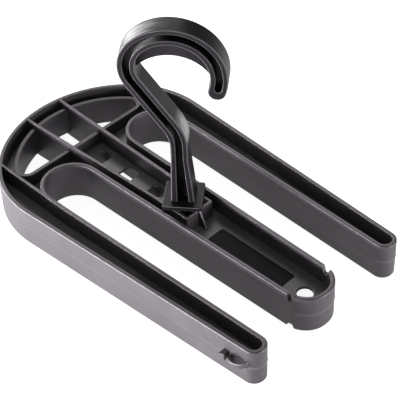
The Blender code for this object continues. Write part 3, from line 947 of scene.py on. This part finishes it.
hook_colour = (0.009, 0.008, 0.010, 1.0)
hook_rubbed_colour = (0.013, 0.011, 0.014, 1.0)
hook_roughness_low = 0.36
hook_roughness_high = 0.44
hook_specular = 0.22
# Where along the blade's edges the painted highlight patches sit, and how far they reach.
crown_highlight_share = 0.50
crown_highlight_radius = 0.030
knee_highlight_share = 0.10
knee_highlight_radius = 0.020
hook_top_z = 0.3
hook_turn = 38
hook_slack_x = 0.002
hook_slack_y = 0.002
blade_width = 0.0173
blade_depth = 0.0224
blade_web = 0.003
blade_edge_radius = 0.0011
groove_width = 0.0065
groove_end_turn = 146
groove_edge_radius = 0.0006
groove_draft = 0.0003
stem_u = -0.0013
stem_top_z = 0.1184
flare_top_z = 0.1030
blade_flare_left = 0.0018
blade_flare_right = 0.0051
groove_flare_left = 0.0006
groove_flare_right = 0.0043
blade_root_depth = 0.0040
groove_root_depth = 0.0016
foot_fillet = 0.0009
fillet_corner = 0.0012
stem_radius = 0.0483
stem_turn = 33.1
lean_length = 0.0618
shoulder_bend_radius = 0.0324
shoulder_bend_turn = 80.9
crown_bend_radius = 0.0462
crown_bend_turn = 150.7
seat_radius = 0.0442
seat_centre_u = -0.0071
seat_centre_z = 0.1797
seat_thickness = 0.0034
foot_size = 0.040
foot_thickness = 0.0045
foot_corner = 0.0025
foot_edge = 0.0005
foot_gap = 0.0003
neck_radius = 0.0060
key_length = 0.0230
key_width = 0.0120
key_corner = 0.003
key_thickness = 0.0055
path_step = 3.0
foot_bottom = frame_height + foot_gap
foot_top = foot_bottom + foot_thickness
hook_x = hook_hole_first_x + hook_hole_pitch * (hook_hole_count - 1) + hook_slack_x


def bend(points, place, heading, radius, turn, offset):
    """Adds a bend to one edge of the blade and returns where its middle line ends; a left turn is positive."""
    hand = 1 if turn > 0 else -1
    left = Vector((-math.sin(heading), math.cos(heading)))
    centre = place + left * radius * hand
    count = math.ceil(abs(turn) / path_step)
    for part in range(count + 1):
        angle = heading + math.radians(turn) * part / count
        left = Vector((-math.sin(angle), math.cos(angle)))
        points.append(centre - left * radius * hand + left * offset)
    return centre - left * radius * hand, angle


def flared(offset, flare, level):
    """Where an edge of the stem stands at a level; flare is how far it moves out on the way down to the foot."""
    out = flare * (flare_top_z - level) / (flare_top_z - foot_top)
    return Vector((stem_u - offset - math.copysign(out, offset), level))


def blade_side(offset, flare, start_z, last_turn):
    """One edge of the blade from its foot to its tip, offset to the left of the middle line."""
    heading = math.pi / 2
    points = [flared(offset, flare, start_z), flared(offset, flare, flare_top_z)]
    place, heading = bend(points, Vector((stem_u, stem_top_z)), heading, stem_radius, stem_turn, offset)
    place = place + Vector((math.cos(heading), math.sin(heading))) * lean_length
    place, heading = bend(points, place, heading, shoulder_bend_radius, -shoulder_bend_turn, offset)
    place, heading = bend(points, place, heading, crown_bend_radius, -last_turn, offset)
    return points, place, heading


def blade_outline(width, flare_left, flare_right, start_z, last_turn):
    """The blade's outline in its own plane, with a round end."""
    left, place, heading = blade_side(width / 2, flare_left, start_z, last_turn)
    right = blade_side(-width / 2, flare_right, start_z, last_turn)[0]
    end = []
    count = math.ceil(180 / small_step)
    for part in range(1, count):
        angle = heading + math.pi / 2 - math.pi * part / count
        end.append(place + Vector((math.cos(angle), math.sin(angle))) * width / 2)
    outline = list(reversed(left + end + list(reversed(right))))
    return [point for index, point in enumerate(outline) if (point - outline[index - 1]).length > same_place]


half_depth = blade_depth / 2
half_web = blade_web / 2
blade_shape = bmesh.new()
blade = blade_outline(blade_width, blade_flare_left, blade_flare_right, foot_top - blade_root_depth,
                      crown_bend_turn)
groove = softened(blade_outline(groove_width, groove_flare_left, groove_flare_right, foot_top - groove_root_depth,
                                groove_end_turn), corner_fillet, corner_turn)
blade_profile = lower_edge(-half_depth, blade_edge_radius, -blade_edge_radius, rim_steps)
blade_profile += upper_edge(half_depth, blade_edge_radius, -blade_edge_radius, rim_steps)
blade_back, blade_front = stack(blade_shape, blade, blade_profile)
groove_profile = [(half_web, 0.0)]
for level, spread in upper_edge(half_depth, groove_edge_radius, groove_edge_radius, edge_steps):
    groove_profile.append((level, groove_draft + spread))
for way, blade_face in ((1, blade_front), (-1, blade_back)):
    way_profile = [(way * level, spread) for level, spread in groove_profile]
    groove_floor, groove_rim = stack(blade_shape, groove, way_profile)
    fill(blade_shape, [blade_face, groove_rim])
    fill(blade_shape, [groove_floor])
stand_up = Matrix.Rotation(math.pi / 2, 4, "X")
hook_moulding = finished("hook_moulding", blade_shape)
hook_moulding.data.transform(stand_up)

seat_centre = Vector((seat_centre_u, seat_centre_z))
seat_inner = []
seat_outer = []
for point in blade_side(-groove_width / 2 - groove_draft * 2, groove_flare_right, foot_top, crown_bend_turn)[0]:
    away = point - seat_centre
    if away.length > seat_radius and point.y > seat_centre_z:
        seat_outer.append(point)
        seat_inner.append(seat_centre + away.normalized() * seat_radius)
seat_points = list(reversed(seat_outer + list(reversed(seat_inner))))
seat = slab("seat", seat_points, -seat_thickness / 2, seat_thickness / 2)
seat.data.transform(stand_up)
combine(hook_moulding, seat, "UNION")


def rounded_plate(name, points, low, high, edge):
    """A plate whose upper and lower edges are rounded."""
    return solid(name, points, lower_edge(low, edge, -edge, edge_steps) + upper_edge(high, edge, -edge, edge_steps))


blade_left = flared(blade_width / 2, blade_flare_left, foot_top).x
blade_right = flared(-blade_width / 2, blade_flare_right, foot_top).x
groove_left = flared(groove_width / 2, groove_flare_left, foot_top).x
groove_right = flared(-groove_width / 2, groove_flare_right, foot_top).x
front_half = [(blade_left, -half_depth), (groove_left, -half_depth), (groove_left, -half_web),
              (groove_right, -half_web), (groove_right, -half_depth), (blade_right, -half_depth)]
section = [Vector(point) for point in front_half] + [Vector((u, -v)) for u, v in reversed(front_half)]
section = softened(section, fillet_corner, corner_turn)
fillet_profile = [(foot_top - foot_fillet, foot_fillet)]
for along_share, up_share in quarter(rim_steps):
    fillet_profile.append((foot_top + foot_fillet * along_share, foot_fillet * (1 - up_share)))
combine(hook_moulding, solid("foot_fillet", section, fillet_profile), "UNION")
foot_plan = centred_rectangle(foot_size, foot_size, foot_corner)
combine(hook_moulding, rounded_plate("foot", foot_plan, foot_bottom, foot_top, foot_edge), "UNION")
key_top = floor_bottom - foot_gap
key_bottom = key_top - key_thickness
neck = slab("neck", disc(0.0, neck_radius), key_bottom + key_thickness / 2, foot_bottom + foot_thickness / 2)
combine(hook_moulding, neck, "UNION")
key_plan = centred_rectangle(key_length, key_width, key_corner)
combine(hook_moulding, rounded_plate("key", key_plan, key_bottom, key_top, foot_edge), "UNION")
hook_place = Matrix.Translation((datum_x + hook_x, hook_slack_y, 0.0))
hook_place = hook_place @ Matrix.Rotation(math.radians(hook_turn), 4, "Z")
# Pale streaked patches on the crown's outer face and at the knee are painted highlights.
highlight_patches = []
outer_points = blade_side(blade_width / 2, blade_flare_left, foot_top, crown_bend_turn)[0]
inner_points = blade_side(-blade_width / 2, blade_flare_right, foot_top, crown_bend_turn)[0]
for points, hand, share, radius in ((outer_points, 1, crown_highlight_share, crown_highlight_radius),
                                    (inner_points, -1, knee_highlight_share, knee_highlight_radius)):
    index = round(share * (len(points) - 1))
    point = points[index]
    along = (points[index + 1] - points[index - 1]).normalized() * hand
    outward = hook_place.to_3x3() @ Vector((-along.y, 0.0, along.x))
    highlight_patches.append((hook_place @ Vector((point.x, 0.0, point.y)), radius, outward))
black_hook = moulded_plastic("black_hook", hook_colour, hook_rubbed_colour, hook_roughness_low,
                             hook_roughness_high, hook_specular, highlight_patches=highlight_patches, scratch_turn=hook_turn,
                             scratch_stretch=(scratch_length, 1.0, scratch_length))
dress(hook_moulding, black_hook, hook_place, "hook", "hook", 0.0, hook_top_z)


# Floor and backdrop
# A seamless white sheet under and behind the hanger, bright in the camera and in reflections, and the white
# room round it.

sheet_half = 3.0
sheet_colour = (0.80, 0.80, 0.80, 1.0)
sheet_glow = 0.90
sheet_mirror_glow = 0.58
sheet_roughness = 0.9
light_colour = (1.0, 1.0, 1.0, 1.0)
world_glow = 0.2
world_camera_glow = 1.0

sheet_shape = bmesh.new()
bmesh.ops.create_grid(sheet_shape, x_segments=1, y_segments=1, size=sheet_half)
sheet = finished("ground_sheet", sheet_shape)
sheet_material = bpy.data.materials.new("white_sheet")
sheet_material.use_nodes = True
sheet_tree = sheet_material.node_tree
seen_by = sheet_tree.nodes.new("ShaderNodeLightPath").outputs
mirrored_ray = maths(sheet_tree, "MAXIMUM", seen_by["Is Glossy Ray"], seen_by["Is Transmission Ray"])
mirror_glow = ramp(sheet_tree, mirrored_ray, 0.0, 1.0, 0.0, sheet_mirror_glow)
feed(sheet_tree, sheet_tree.nodes["Principled BSDF"], {
    "Base Color": sheet_colour, "Roughness": sheet_roughness, "Specular IOR Level": 0.0,
    "Emission Color": light_colour,
    "Emission Strength": maths(sheet_tree, "MULTIPLY_ADD", seen_by["Is Camera Ray"], sheet_glow, mirror_glow)})
sheet.data.materials.append(sheet_material)

world = bpy.data.worlds.new("studio")
bpy.context.scene.world = world
world.use_nodes = True
world_tree = world.node_tree
camera_ray = world_tree.nodes.new("ShaderNodeLightPath").outputs["Is Camera Ray"]
feed(world_tree, world_tree.nodes["Background"], {
    "Color": light_colour, "Strength": ramp(world_tree, camera_ray, 0.0, 1.0, world_glow, world_camera_glow)})


# Lights
# Soft boxes: a large one behind and above, whose reflection draws the bright rims, and low ones along the front,
# at the left and behind the tips at the right.


def soft_box(name, place, aim, width, height, power):
    data = bpy.data.lights.new(name, "AREA")
    data.shape = "RECTANGLE"
    data.size = width
    data.size_y = height
    data.energy = power
    box = bpy.data.objects.new(name, data)
    box.location = place
    box.rotation_euler = (Vector(aim) - Vector(place)).to_track_quat("-Z", "Y").to_euler()
    bpy.context.scene.collection.objects.link(box)


soft_box("back_box", place=(-2.65, 2.5, 3.4), aim=(0.0, 0.0, 0.0), width=2.4, height=1.3, power=52.0)
soft_box("front_strip", place=(-0.4, -0.95, 0.07), aim=(-0.1, -0.1, 0.02), width=1.2, height=0.14, power=36.0)
soft_box("left_box", place=(-1.5, -0.2, 0.22), aim=(0.0, 0.0, 0.1), width=1.4, height=0.35, power=18.0)
soft_box("right_box", place=(1.4, 0.5, 0.2), aim=(0.2, 0.0, 0.02), width=0.8, height=0.3, power=15.0)

bpy.context.scene.view_settings.view_transform = "Standard"
